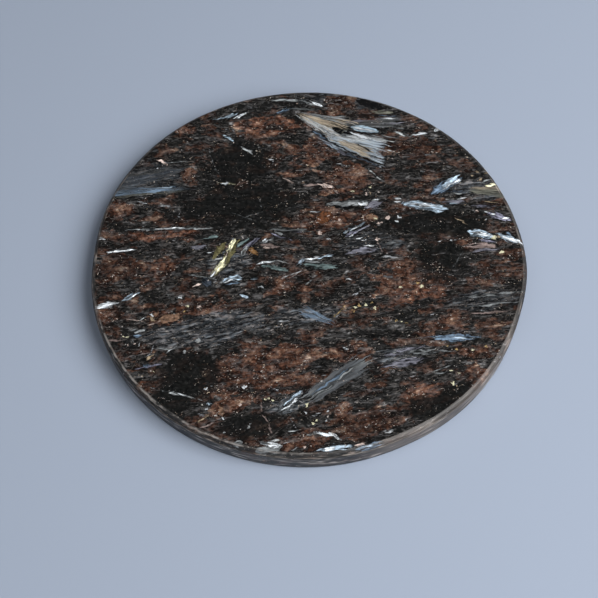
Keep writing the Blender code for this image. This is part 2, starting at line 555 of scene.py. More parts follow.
# Crystals that stand out, in the order in which they overlap: the two ends of each in the photograph's
# pixels, its width in mm, its tint, then what is its own, if anything
crystals = [
    # the blade ends round the top of the rim
    ((273, 100), (300, 101), 0.9, "paleGrey", {"blunt": 2.0}),
    ((301, 101), (324, 107), 0.8, "paleGrey"),
    ((311, 101), (322, 106), 0.9, "white"),
    ((274, 108), (326, 110), 0.6, "dimGrey"),
    ((357, 100), (384, 108), 2.4, "black"),
    ((372, 112), (394, 113), 1.2, "oliveGrey"),
    ((215, 120), (240, 113), 1.0, "paleBlue"),
    ((236, 118), (246, 112), 0.7, "white"),
    ((274, 115), (292, 108), 1.0, "steelBlue"),
    ((223, 134), (234, 142), 0.6, "skyBlue"),
    ((240, 146), (252, 153), 0.7, "paleGrey"),
    ((378, 119), (399, 118), 0.9, "paleGrey"),
    ((380, 115), (397, 116), 0.4, "steelBlue"),
    # left, above the middle
    ((144, 192), (178, 187), 1.6, "steelBlue"),
    ((150, 189), (172, 187), 0.6, "paleBlue"),
    ((155, 160), (170, 164), 0.8, "pinkWhite"),
    ((166, 163), (186, 161), 0.4, "midGrey"),
    ((128, 230), (209, 228), 0.6, "paleGrey", {"blunt": 4.0}),
    ((150, 229), (186, 228), 0.6, "white"),
    ((107, 252), (134, 250), 0.6, "white"),
    ((190, 249), (206, 245), 1.4, "lavenderGrey"),
    ((202, 239), (218, 236), 0.9, "greyTeal"),
    ((158, 206), (172, 206), 0.4, "white"),
    ((217, 182), (235, 184), 0.5, "cream"),
    ((220, 183), (228, 183), 0.9, "white"),
    # the cream blade and its neighbours
    ((225, 243), (213, 258), 1.6, "olive"),
    ((239, 240), (215, 275), 1.7, "olive", {"blunt": 2.0}),
    ((235, 239), (227, 253), 1.2, "cream", {"blunt": 2.0}),
    ((229, 250), (224, 261), 0.4, "pinkWhite"),
    ((227, 257), (213, 275), 1.5, "cream", {"blunt": 2.0}),
    ((216, 271), (210, 278), 0.6, "white"),
    ((206, 247), (209, 254), 0.3, "paleGrey"),
    ((205, 254), (211, 252), 0.6, "white"),
    ((249, 238), (238, 246), 1.1, "greyTeal", {"blunt": 2.0}),
    ((261, 237), (244, 248), 0.9, "lavender", {"blunt": 2.0}),
    ((247, 246), (241, 256), 0.8, "paleGrey", {"blunt": 2.0}),
    ((249, 247), (258, 255), 1.5, "amber"),
    ((259, 245), (278, 247), 1.5, "pinkGrey"),
    ((262, 242), (272, 239), 0.7, "white"),
    ((264, 249), (271, 246), 0.6, "pinkWhite"),
    ((271, 229), (314, 232), 1.0, "dimGrey", {"blunt": 2.0}),
    ((292, 232), (306, 233), 0.4, "lavender"),
    ((270, 233), (291, 240), 0.45, "lavender"),
    ((272, 230), (286, 237), 0.5, "midGrey"),
    ((258, 264), (275, 260), 0.55, "white"),
    ((272, 259), (289, 263), 0.35, "paleGrey", {"bend": 0.3}),
    ((262, 265), (289, 271), 1.1, "greyTeal", {"blunt": 2.5}),
    ((280, 279), (304, 269), 0.8, "pinkGrey", {"bend": 0.4}),
    ((284, 277), (303, 270), 0.35, "paleGrey"),
    ((218, 284), (227, 279), 1.0, "midGrey"),
    ((223, 281), (241, 277), 1.3, "paleBlue", {"blunt": 4.0}),
    ((224, 282), (234, 280), 0.6, "white"),
    ((224, 285), (238, 283), 0.4, "steelBlue"),
    ((182, 274), (221, 280), 0.4, "midGrey"),
    ((250, 279), (258, 278), 0.6, "paleBlue"),
    ((202, 279), (211, 286), 2.0, "slate"),
    ((258, 286), (266, 288), 0.4, "white", {"bend": 0.4}),
    ((240, 294), (248, 298), 1.0, "paleBlue"),
    ((304, 286), (313, 279), 0.3, "paleGrey"),
    ((192, 287), (202, 283), 0.5, "pinkWhite"),
    # across the middle
    ((296, 265), (305, 259), 0.7, "paleBlue"),
    ((303, 261), (319, 257), 0.8, "white", {"blunt": 2.0}),
    ((316, 259), (333, 255), 0.8, "paleBlue"),
    ((303, 264), (338, 268), 1.3, "greyTeal", {"blunt": 2.0}),
    ((306, 262), (330, 262), 0.5, "midGrey"),
    ((333, 206), (353, 207), 1.0, "black"),
    ((326, 204), (370, 202), 1.6, "midGrey", {"blunt": 2.0}),
    ((343, 204), (369, 202), 0.9, "paleGrey"),
    ((358, 203), (369, 203), 0.9, "white", {"blunt": 2.0}),
    ((365, 207), (382, 202), 2.4, "lavenderGrey"),
    ((371, 200), (380, 199), 0.6, "white"),
    ((341, 234), (364, 224), 0.8, "paleBlue"),
    ((346, 232), (362, 225), 0.4, "white"),
    ((346, 237), (358, 231), 1.2, "lavender"),
    ((349, 237), (354, 234), 0.6, "white"),
    ((356, 232), (370, 225), 1.0, "lavenderGrey"),
    ((347, 253), (376, 249), 1.6, "lavenderGrey"),
    ((386, 243), (397, 242), 0.5, "paleGrey"),
    ((377, 236), (379, 244), 0.7, "pinkWhite"),
    ((366, 217), (378, 217), 1.8, "copper", {"blunt": 2.0}),
    ((318, 222), (330, 212), 2.6, "rust", {"blunt": 2.0}),
    ((394, 198), (401, 199), 0.5, "white"),
    ((394, 202), (401, 202), 0.6, "white"),
    ((403, 203), (446, 209), 2.2, "paleBlue", {"blunt": 2.0}),
    ((410, 203), (436, 206), 0.8, "white"),
    ((431, 193), (461, 178), 2.2, "steelBlue", {"blunt": 2.0}),
    ((441, 189), (459, 175), 1.6, "paleBlue"),
    ((445, 188), (461, 179), 0.8, "white"),
    ((282, 178), (296, 184), 0.6, "pinkWhite"),
    ((300, 186), (322, 184), 0.6, "pinkGrey"),
    ((319, 184), (333, 187), 0.9, "pinkWhite"),
    ((334, 188), (339, 195), 0.5, "pinkGrey"),
    # upper right and the right of the rim
    ((395, 131), (409, 136), 0.7, "paleGrey"),
    ((412, 135), (426, 133), 0.7, "white"),
    ((435, 131), (441, 126), 0.7, "white"),
    ((480, 183), (493, 178), 0.6, "paleGrey"),
    ((486, 186), (497, 184), 0.8, "cream"),
    ((472, 188), (498, 190), 0.7, "tan"),
    ((449, 191), (469, 193), 0.9, "slate"),
    ((449, 193), (468, 195), 0.6, "paleGrey", {"bend": -0.3}),
    ((443, 203), (465, 201), 1.1, "lavenderGrey"),
    ((448, 203), (458, 203), 0.5, "paleBlue"),
    ((484, 202), (498, 202), 0.4, "tan"),
    ((473, 206), (502, 207), 0.9, "lavenderGrey"),
    ((476, 206), (490, 206), 0.5, "lavender"),
    ((482, 211), (490, 213), 0.5, "white"),
    ((487, 213), (511, 220), 1.6, "lavender"),
    ((489, 214), (496, 215), 0.6, "white"),
    ((501, 218), (509, 218), 0.6, "white"),
    ((469, 231), (493, 237), 2.4, "paleBlue", {"blunt": 2.0}),
    ((472, 232), (492, 236), 1.2, "white"),
    ((480, 240), (493, 242), 0.9, "lavender"),
    ((497, 233), (521, 243), 1.8, "paleBlue"),
    ((503, 236), (522, 243), 1.0, "white"),
    ((504, 232), (512, 235), 0.6, "steelBlue"),
    ((467, 246), (498, 246), 1.8, "pinkGrey"),
    ((470, 250), (497, 249), 1.0, "lavenderGrey"),
    ((455, 299), (520, 291), 0.7, "midGrey"),
    ((462, 308), (520, 301), 0.6, "midGrey"),
    ((470, 314), (516, 310), 0.5, "pinkGrey"),
    # lower right
    ((428, 337), (478, 338), 2.0, "steelBlue"),
    ((448, 337), (473, 338), 0.6, "paleBlue"),
    ((382, 356), (424, 346), 1.4, "lavenderGrey"),
    ((396, 352), (448, 351), 0.9, "midGrey"),
    ((382, 367), (424, 358), 1.8, "lavenderGrey"),
    ((432, 372), (452, 364), 0.5, "midGrey"),
    ((433, 375), (450, 371), 0.4, "midGrey"),
    # the wide blade below the middle
    ((278, 412), (302, 391), 1.9, "slateGrey", {"blunt": 2.0}),
    ((287, 402), (301, 391), 0.8, "paleBlue"),
    ((291, 402), (298, 398), 0.7, "white"),
    ((278, 411), (292, 404), 0.5, "white"),
    # bottom
    ((197, 423), (209, 415), 0.4, "tan"),
    ((197, 428), (215, 423), 0.6, "pinkGrey"),
    ((222, 416), (224, 421), 0.5, "white"),
    ((219, 407), (223, 417), 1.3, "copper"),
    ((287, 431), (298, 430), 0.5, "paleGrey"),
    ((270, 441), (282, 440), 0.6, "paleGrey"),
    ((256, 451), (281, 447), 2.2, "midGrey", {"blunt": 2.0}),
    ((261, 443), (284, 446), 0.9, "white"),
    ((233, 444), (243, 443), 1.5, "midGrey"),
    # a painted highlight along the eased edge at the front
    ((198, 436), (234, 449), 0.5, "paleGrey"),
    ((315, 431), (339, 438), 0.9, "white"),
    ((305, 435), (318, 434), 0.8, "paleGrey"),
    ((318, 451), (353, 446), 1.4, "paleBlue"),
    ((323, 450), (334, 449), 0.8, "white"),
    ((356, 446), (366, 443), 0.8, "pinkWhite"),
    ((358, 449), (385, 441), 1.0, "steelBlue"),
    ((362, 447), (375, 444), 0.5, "paleBlue"),
    ((137, 368), (161, 365), 1.0, "lavender"),
    ((142, 367), (150, 365), 0.9, "steelBlue"),
    # left of the rim, below the middle
    ((95, 308), (117, 303), 1.3, "white", {"blunt": 2.0}),
    ((121, 301), (139, 293), 1.1, "paleBlue"),
    ((128, 298), (138, 294), 0.6, "white"),
    ((124, 319), (141, 321), 0.45, "pinkWhite"),
    ((140, 321), (146, 316), 0.45, "paleGrey"),
    ((146, 317), (159, 313), 1.2, "copper"),
    ((147, 325), (157, 323), 0.5, "pinkWhite"),
    ((150, 317), (156, 322), 0.7, "tan"),
    ((158, 321), (181, 316), 2.0, "copper", {"blunt": 2.0}),
    ((132, 331), (147, 331), 0.7, "paleGrey"),
    ((133, 336), (141, 335), 0.6, "steelBlue"),
    ((106, 340), (122, 340), 0.6, "pinkGrey"),
    ((157, 348), (169, 349), 0.45, "paleGrey"),
    ((167, 352), (180, 344), 0.4, "paleGrey"),
    ((147, 361), (155, 354), 0.5, "tan"),
    # a painted highlight: a grey line along the eased edge of the rim
    ((108, 347), (117, 362), 0.4, "midGrey"),
    # hairlines at odd angles
    ((157, 389), (204, 401), 0.4, "paleGrey", {"vein": True}),
    ((172, 391), (182, 395), 0.3, "white", {"vein": True}),
    ((261, 402), (262, 413), 0.4, "pinkGrey", {"vein": True}),
    ((261, 412), (269, 423), 0.35, "pinkGrey", {"vein": True}),
    ((268, 422), (272, 434), 0.45, "pinkGrey", {"vein": True}),
    ((456, 218), (468, 225), 0.4, "tan", {"vein": True}),
    ((333, 318), (346, 305), 0.4, "gold", {"vein": True}),
    ((133, 337), (134, 344), 0.25, "midGrey", {"vein": True}),
    ((145, 338), (148, 345), 0.25, "midGrey", {"vein": True}),
    ((209, 149), (214, 168), 0.25, "midGrey", {"vein": True}),
    ((213, 165), (222, 178), 0.22, "midGrey", {"vein": True}),
    ((260, 198), (262, 212), 0.25, "dimGrey", {"vein": True}),
    ((232, 221), (262, 212), 0.3, "dimGrey", {"vein": True}),
    ((233, 213), (258, 222), 0.25, "dimGrey", {"vein": True}),
    ((161, 283), (171, 300), 0.25, "dimGrey", {"vein": True}),
    ((368, 168), (376, 175), 0.6, "paleGrey"),
    ((374, 174), (386, 183), 0.4, "paleGrey"),
    ((379, 243), (382, 252), 0.4, "pinkGrey", {"vein": True}),
    ((451, 271), (463, 250), 0.3, "dimGrey", {"vein": True}),
    ((328, 305), (338, 317), 0.25, "dimGrey", {"vein": True}),
    ((350, 415), (371, 412), 0.4, "pinkGrey", {"vein": True}),
]

# Sprays of fibres that open out: the root and the middle of the far end in the photograph's pixels, half
# the width at each in mm, how many fibres, the tints from the left side to the right, how dense, and how
# strongly its fibres differ
sprays = [
    # fibrous stretches at the rim, left and right, and a wide blade in front
    ((186, 168), (119, 184), (0.5, 3.0), 8.0, ("slateGrey", "slate", "dimGrey"), 0.4, 5.0),
    ((182, 190), (106, 192), (0.6, 2.2), 6.0, ("oliveGrey", "steelBlue", "slateGrey"), 0.45, 5.0),
    ((468, 190), (509, 192), (0.8, 2.2), 6.0, ("beige", "oliveGrey", "oliveGrey"), 0.8, 4.6),
    ((330, 322), (301, 309), (0.5, 1.5), 5.0, ("steelBlue", "slateGrey", "steelBlue"), 0.6, 4.0),
    ((305, 400), (364, 362), (1.6, 2.5), 4.5, ("slateGrey", "midGrey", "slateGrey"), 0.9, 3.0),
    # the fan sheaf: grey behind, then its two broad lobes either side of the dark node
    ((343, 124), (397, 122), (0.8, 2.0), 7.0, ("lavenderGrey", "dimGrey", "midGrey"), 0.75, 4.6),
    ((302, 115), (345, 132), (1.2, 4.8), 11.0, ("midGrey", "sand", "paleGrey"), 1.0, 5.0),
    ((327, 136), (384, 150), (2.6, 4.3), 12.0, ("paleGrey", "mistBlue", "mistBlue"), 1.0, 4.6),
    ((339, 141), (370, 153), (0.9, 1.5), 4.0, ("beige", "sand", "sand"), 0.9, 4.4),
]

# Crystals that lie upon the sheaf
sheafCrystals = [
    ((313, 130), (327, 140), 0.7, "steelBlue"),
    ((320, 127), (334, 134), 0.5, "white"),
    ((333, 128), (352, 134), 1.7, "black", {"blunt": 2.0}),
    ((336, 131), (343, 128), 0.3, "oliveGrey"),
    ((341, 133), (350, 127), 0.3, "oliveGrey"),
    ((352, 127), (377, 131), 1.9, "skyBlue", {"blunt": 2.0}),
    ((359, 129), (375, 131), 0.6, "white"),
    ((352, 127), (364, 129), 0.6, "white"),
    ((350, 132), (372, 139), 0.8, "white"),
    ((351, 130), (374, 136), 0.4, "black"),
    ((382, 118), (396, 118), 0.6, "white"),
    ((356, 143), (372, 151), 0.4, "black"),
    ((325, 142), (352, 157), 1.2, "lavenderGrey"),
    ((327, 144), (342, 151), 0.5, "paleBlue"),
    ((340, 150), (372, 164), 0.7, "slate"),
    ((325, 139), (373, 162), 0.45, "black"),
    ((311, 127), (327, 139), 0.5, "black"),
    # and upon the wide blade
    ((311, 394), (348, 369), 0.6, "steelBlue"),
    ((309, 398), (330, 386), 0.4, "paleGrey"),
    ((334, 381), (356, 366), 0.4, "paleGrey"),
]

# Bright grains: the place of each in the photograph's pixels, its width in mm and its tint
grains = [
    ((151.6, 314.5), 0.9, "white"),
    ((187.9, 305.5), 0.7, "cream"),
    ((184.5, 311.0), 0.8, "gold"),
    ((199.0, 306.5), 1.0, "pinkWhite"),
    ((180.0, 297.7), 0.9, "white"),
    ((124.4, 336.5), 0.6, "cream"),
    ((127.5, 336.5), 0.5, "cream"),
    ((127.0, 344.5), 0.6, "pinkWhite"),
    ((134.7, 344.3), 0.6, "pinkWhite"),
    ((139.3, 344.7), 0.5, "paleGrey"),
    ((197.9, 340.5), 1.5, "paleGrey"),
    ((185.0, 352.0), 1.2, "paleGrey"),
    ((189.8, 333.6), 0.5, "white"),
    ((152.6, 371.3), 0.5, "cream"),
    ((138.5, 386.0), 1.4, "copper"),
    ((206.0, 388.4), 0.7, "white"),
    ((245.0, 387.0), 0.9, "white"),
    ((210.6, 385.4), 0.5, "paleGrey"),
    ((240.0, 404.9), 0.7, "pinkWhite"),
    ((209.0, 403.3), 0.8, "paleBlue"),
    ((206.4, 409.0), 0.8, "white"),
    ((224.8, 432.0), 0.7, "paleGrey"),
    ((251.6, 423.4), 0.5, "white"),
    ((249.0, 426.7), 0.8, "paleGrey"),
    ((305.9, 412.5), 0.7, "white"),
    ((307.5, 405.0), 0.9, "cream"),
    ((304.0, 446.6), 0.9, "pinkWhite"),
    ((265.0, 399.0), 0.6, "cream"),
    ((268.5, 398.0), 0.6, "cream"),
    ((272.0, 401.0), 0.6, "cream"),
    ((313.0, 423.0), 0.7, "cream"),
    ((317.0, 420.0), 0.7, "cream"),
    ((352.0, 191.0), 0.8, "cream"),
    ((370.8, 187.0), 0.7, "cream"),
    ((366.5, 193.8), 1.0, "pinkWhite"),
    ((370.8, 193.5), 0.7, "tan"),
    ((339.6, 220.2), 0.8, "pinkWhite"),
    ((327.8, 215.6), 0.7, "pinkWhite"),
    ((319.5, 219.0), 0.8, "pinkWhite"),
    ((387.8, 217.6), 1.2, "pinkWhite"),
    ((375.7, 217.9), 0.7, "cream"),
    ((378.3, 223.0), 0.7, "pinkWhite"),
    ((381.5, 222.0), 0.6, "pinkWhite"),
    ((319.5, 232.8), 1.2, "pinkWhite"),
    ((328.4, 239.0), 0.6, "white"),
    ((396.5, 221.3), 0.8, "white"),
    ((398.6, 217.3), 1.0, "white"),
    ((477.6, 171.5), 0.8, "tan"),
    ((480.0, 179.0), 0.9, "tan"),
    ((486.0, 173.0), 0.8, "gold"),
    ((471.9, 175.6), 0.6, "tan"),
    ((486.2, 219.0), 0.6, "white"),
    ((476.7, 210.4), 0.7, "pinkWhite"),
    ((501.2, 251.8), 1.0, "cream"),
    ((451.0, 240.5), 0.7, "white"),
    ((494.0, 237.5), 1.5, "cream"),
    ((498.7, 236.5), 0.9, "tan"),
    ((453.0, 383.0), 0.8, "cream"),
    ((457.0, 385.0), 0.6, "tan"),
    ((451.7, 370.0), 0.5, "cream"),
    ((459.0, 372.5), 0.5, "cream"),
    ((355.0, 307.0), 0.7, "cream"),
    ((360.0, 305.0), 0.7, "gold"),
    ((366.0, 304.0), 0.8, "cream"),
    ((371.0, 303.0), 0.7, "gold"),
    ((353.5, 310.5), 0.6, "gold"),
    ((374.5, 308.0), 0.6, "cream"),
    ((396.0, 321.0), 0.5, "gold"),
    ((401.0, 322.0), 0.6, "cream"),
    ((406.0, 323.0), 0.6, "gold"),
    ((400.0, 287.0), 1.0, "cream"),
    ((422.0, 286.0), 0.9, "cream"),
    ((417.0, 283.0), 0.6, "gold"),
    ((448.0, 346.0), 0.6, "gold"),
    ((457.0, 349.5), 0.6, "gold"),
    ((473.0, 349.5), 0.6, "cream"),
    ((486.0, 346.0), 0.6, "gold"),
]

# Crystals strewn between them, largest first; sizes in mm
strewn = [
    {
        "cell": (12, 3.6, 3.0), "halfLength": 4.6, "halfWidth": 0.70,
        "spread": 0.55, "share": 0.26, "light": 0.70,
    },
    {
        "cell": (5.2, 1.8, 1.6), "halfLength": 2.2, "halfWidth": 0.34,
        "spread": 0.9, "share": 0.36, "light": 0.95,
    },
    {
        "cell": (4.2, 4.2, 2.5), "halfLength": 1.7, "halfWidth": 0.16,
        "spread": 3.0, "share": 0.35, "light": 0.9,
    },
]

# Noises: how far each is stretched (for each mm), its detail and its roughness
noises = {
    "wave": ((0.35, 0.7, 0.7), 2.0, 0.6),
    "jitter": ((3.0, 5.0, 5.0), 1.0, 0.5),
    "fraying": ((0.40, 2.3, 2.3), 1.0, 0.6),
    "breakUp": ((0.22, 0.36, 0.36), 3.0, 0.6),
    "clouds": ((0.20, 0.36, 0.36), 2.0, 0.55),
    "mottle": ((0.75, 1.2, 1.2), 2.0, 0.6),
    "warmth": ((0.62, 0.80, 0.80), 3.0, 0.65),
    "haze": ((0.30, 0.50, 0.50), 3.0, 0.65),
    "stain": ((0.16, 0.30, 0.30), 3.0, 0.65),
    "streaks": ((0.13, 1.3, 1.3), 2.0, 0.6),
    "coarseFibres": ((0.16, 1.15, 1.15), 1.5, 0.6),
    "thinFibres": ((0.45, 2.6, 2.6), 1.0, 0.5),
    "evenGrain": ((1.3, 1.5, 1.5), 1.5, 0.6),
    "grainEdges": ((1.7, 2.3, 1.0), 1.0, 0.6),
    "grit": ((1.6, 3.0, 3.0), 2.0, 0.75),
    "gathering": ((0.25, 0.5, 0.5), 3.0, 0.6),
    "sparks": ((0.8, 1.1, 1.1), 1.0, 0.5),
    "rimMarks": ((0.15, 0.15, 1.05), 2.0, 0.6),
    "rimPatches": ((0.34, 0.34, 1.5), 1.0, 0.6),
    "rimWear": ((0.12, 0.12, 0.5), 1.0, 0.6),
    "wornHighlightLine": ((0.55, 0.55, 0.3), 1.0, 0.6),
}

stoneSpec = {
    "halfLength": 0.54,  # of a crystal, as a share of the distance between its ends
    "fineBelow": 0.65,  # mm, the width under which a crystal has a fine edge
    "wobble": 0.55,  # mm, the waviness of every edge
    "jitter": 0.10,
    "fraying": 0.85,  # how ragged the edge of a crystal is
    "fineFraying": 0.38,  # and that of a thin one
    "frayingLeans": (0.0, 0.6, 1.05, -0.6),
    "fibreLean": 0.16,  # how much steeper than the foliation the fibrous stretches rise
    "jog": 0.5,  # mm, for each unit of brightness
    "lean": 0.06,  # the slope of the foliation at the middle of the face
    "leanChange": -0.0022,  # and how it falls from front to back, for each mm
    "roughness": 0.17,
    "ior": 1.62,
}

groundTints = [
    (0.28, 0.0050, 0.0048, 0.0044),
    (0.45, 0.0090, 0.0088, 0.0082),
    (0.56, 0.016, 0.0155, 0.0148),
    (0.66, 0.040, 0.039, 0.039),
    (0.76, 0.11, 0.108, 0.108),
    (0.88, 0.30, 0.295, 0.30),
]
brownTints = [
    (0.26, 0.008, 0.0046, 0.0034),
    (0.40, 0.026, 0.0108, 0.0066),
    (0.50, 0.066, 0.0275, 0.0165),
    (0.60, 0.112, 0.052, 0.033),
    (0.72, 0.23, 0.135, 0.092),
    (0.86, 0.52, 0.40, 0.30),
]
hazeTints = [
    (0.30, 0.020, 0.0165, 0.0155),
    (0.46, 0.060, 0.051, 0.049),
    (0.60, 0.125, 0.108, 0.104),
    (0.78, 0.29, 0.255, 0.245),
]
fibrousTints = [
    (0.30, 0.008, 0.0085, 0.0092),
    (0.46, 0.021, 0.0235, 0.0265),
    (0.58, 0.060, 0.067, 0.076),
    (0.76, 0.24, 0.265, 0.29),
]

sparkTints = [
    (0.30, 0.34, 0.30, 0.28),
    (0.45, 0.62, 0.58, 0.55),
    (0.52, 0.70, 0.52, 0.34),
    (0.60, 0.75, 0.73, 0.72),
    (0.70, 0.50, 0.34, 0.25),
]
wallTints = [
    (0.30, 0.007, 0.0060, 0.0054),
    (0.42, 0.030, 0.025, 0.0215),
    (0.52, 0.107, 0.090, 0.077),
    (0.62, 0.27, 0.230, 0.198),
    (0.76, 0.56, 0.50, 0.45),
]
wallSpec = {
    "litSideAt": 311,  # degrees from +X, the middle of the stretch of wall painted paler where the lamps light it: painted light
    "litSideTint": (0.25, 0.215, 0.195, 1.0),
    # a painted highlight: a bright line low on the wall's right, with its direction, height and tint
    "highlightLineAt": 327,
    "highlightLineHeight": 1.3,  # mm
    "highlightLineTint": (0.60, 0.58, 0.57, 1.0),
    # the wall's foot is darkened with painted shade up to this height, in mm
    "footShadeHeight": 1.45,
    # a broken pale line where the face ends at the front left: wear, and a painted highlight on the edge
    "wornHighlightAt": 228,
    "wornHighlightHeight": 5.88,
    "wornHighlightTint": (0.36, 0.33, 0.31, 1.0),
}

# Hairlines: which way each kind runs, how far it is stretched (for each mm), how thick, and its tint
hairlines = [
    {
        "turn": 0.0, "stretch": (0.11, 0.75, 0.75), "breadth": 0.050,
        "strength": 0.75, "tint": (0.17, 0.165, 0.17),
    },
    {
        "turn": -0.12, "stretch": (0.30, 1.7, 1.7), "breadth": 0.045,
        "strength": 0.6, "tint": (0.24, 0.22, 0.21),
    },
    {
        "turn": 0.62, "stretch": (0.13, 0.50, 0.5), "breadth": 0.028,
        "strength": 0.6, "tint": (0.16, 0.14, 0.13),
    },
    {
        "turn": -0.60, "stretch": (0.14, 0.55, 0.5), "breadth": 0.028,
        "strength": 0.6, "tint": (0.15, 0.14, 0.135),
    },
]


def namedNoise(tree, space, name, wanted="Fac"):
    return grainNoise(tree, space, *noises[name], wanted)


# A spot on the face as the foliation runs: what is stretched level there follows the foliation
def foliate(spot):
    slope = stoneSpec["lean"] + stoneSpec["leanChange"] * spot.y
    return Vector((spot.x, spot.y - spot.x * slope))


# How much of each kind of patch a place holds, its edge broken up by noise
def patchMask(tree, group, foliated, kind, breakUp, low, high):
    depth = -1.0
    for centre, halfSize in patches[kind]:
        left = onFace((centre[0] - halfSize[0], centre[1]))
        right = onFace((centre[0] + halfSize[0], centre[1]))
        top = onFace((centre[0], centre[1] - halfSize[1]))
        bottom = onFace((centre[0], centre[1] + halfSize[1]))
        middle = foliate((top + bottom) / 2)
        size = ((right - left).length / 2, (top - bottom).length / 2, 60)
        values = {"Space": foliated, "Centre": (middle.x, middle.y, 0), "Half Size": size, "Depth": depth}
        depth = placeGroup(tree, group, values)["Depth"]
    return ease(tree, calc(tree, "ADD", depth, breakUp), low, high)


# Thin wandering lines laid over a colour, which come and go along their way
def drawHairlines(tree, line, foliated, colour, share):
    turned = turnedBy(tree, foliated, -line["turn"])
    field = grainNoise(tree, turned, line["stretch"], 2.0, 0.6)
    away = calc(tree, "ABSOLUTE", calc(tree, "SUBTRACT", field, 0.5))
    mask = ease(tree, away, line["breadth"], line["breadth"] * 0.2)
    along, across, _ = line["stretch"]
    present = ease(tree, grainNoise(tree, turned, (along * 2.4, across * 1.3, 1.1), 1.0, 0.6), 0.44, 0.62)
    mask = calc(tree, "MULTIPLY", mask, calc(tree, "MULTIPLY", present, share))
    return mixColour(tree, calc(tree, "MULTIPLY", mask, line["strength"]), colour, (*line["tint"], 1.0))


# Lays a row of crystals over a colour; each jogs a little where it crosses what is bright
def layCrystals(tree, groups, listed, space, edges, colour, turn):
    bright = channelsOf(tree, colour)[0]
    jog = calc(tree, "MULTIPLY", bright, stoneSpec["jog"])
    space = vectorCalc(tree, "ADD", space, joined(tree, {1: jog}))
    for start, end, width, tint, *own in listed:
        own = own[0] if own else {}
        start, end = onFace(start), onFace(end)
        middle = (start + end) / 2
        along = (end - start).normalized()
        halfLength = (end - start).length * stoneSpec["halfLength"]
        heading = math.atan(along.y / along.x) if along.x else math.pi / 2
        fine = width < stoneSpec["fineBelow"] or "vein" in own
        lean = min(stoneSpec["frayingLeans"], key=lambda each: abs(each - heading))
        values = {
            "Space": space,
            "Edge": edges["fine" if fine else "ragged"][lean],
            "Centre": (middle.x, middle.y, 0),
            "Along": (along.x / halfLength, along.y / halfLength, 0),
            "Across": (-along.y / edgeReach, along.x / edgeReach, 0),
            "Half Width": width / 2 / edgeReach,
            "Loss": -width / 2 / edgeReach,
            "Bluntness": own.get("blunt", 1.0),
            "Bend": own.get("bend", 0.0) / edgeReach,
            "Tint": (*tints[tint], 1.0),
            "Turn": heading,
            "Colour": colour,
            "Turn So Far": turn,
        }
        kinds = [name for name in ("vein", "bend", "blunt") if name in own] + ["thin" if fine else "crystal"]
        made = placeGroup(tree, groups[kinds[0]], values)
        colour = made["Colour"]
        if "Turn So Far" in made:
            turn = made["Turn So Far"]
    return space, colour, turn


def laySprays(tree, group, space, shallow, colour):
    for number, (root, end, half, fibres, across, dense, contrast) in enumerate(sprays):
        root, end = onFace(root), onFace(end)
        length = (end - root).length
        along = (end - root) / length
        values = {
            "Space": space,
            "Root": (root.x, root.y, 0),
            "Along": (along.x / length, along.y / length, 0),
            "Across": (-along.y, along.x, 0),
            "Root Width": half[0],
            "Opening": half[1] - half[0],
            "Fibres": fibres,
            "Seed": 3.7 * number,
            "Left": (*tints[across[0]], 1.0),
            "Middle": (*tints[across[1]], 1.0),
            "Right": (*tints[across[2]], 1.0),
            "Cover": calc(tree, "MULTIPLY", shallow, dense),
            "Contrast": contrast,
            "Colour": colour,
        }
        colour = placeGroup(tree, group, values)["Colour"]
    return colour


def layGrains(tree, space, tooDeep, colour):
    ragged = namedNoise(tree, space, "grainEdges", "Color")
    ragged = vectorCalc(tree, "MULTIPLY_ADD", ragged, (1.5, 1.1, 0), space)
    split = axesOf(tree, ragged)
    flat = joined(tree, {0: split[0], 1: split[1], 2: tooDeep})
    for pixel, width, tint in grains:
        place = onFace(pixel)
        ends = {0: flat, 1: (place.x + 0.75, place.y + 0.55, 0)}
        away = newNode(tree, "ShaderNodeVectorMath", ends, operation="DISTANCE").outputs["Value"]
        colour = mixColour(tree, ease(tree, away, width * 0.46, width * 0.24), colour, (*tints[tint], 1.0))
    return colour


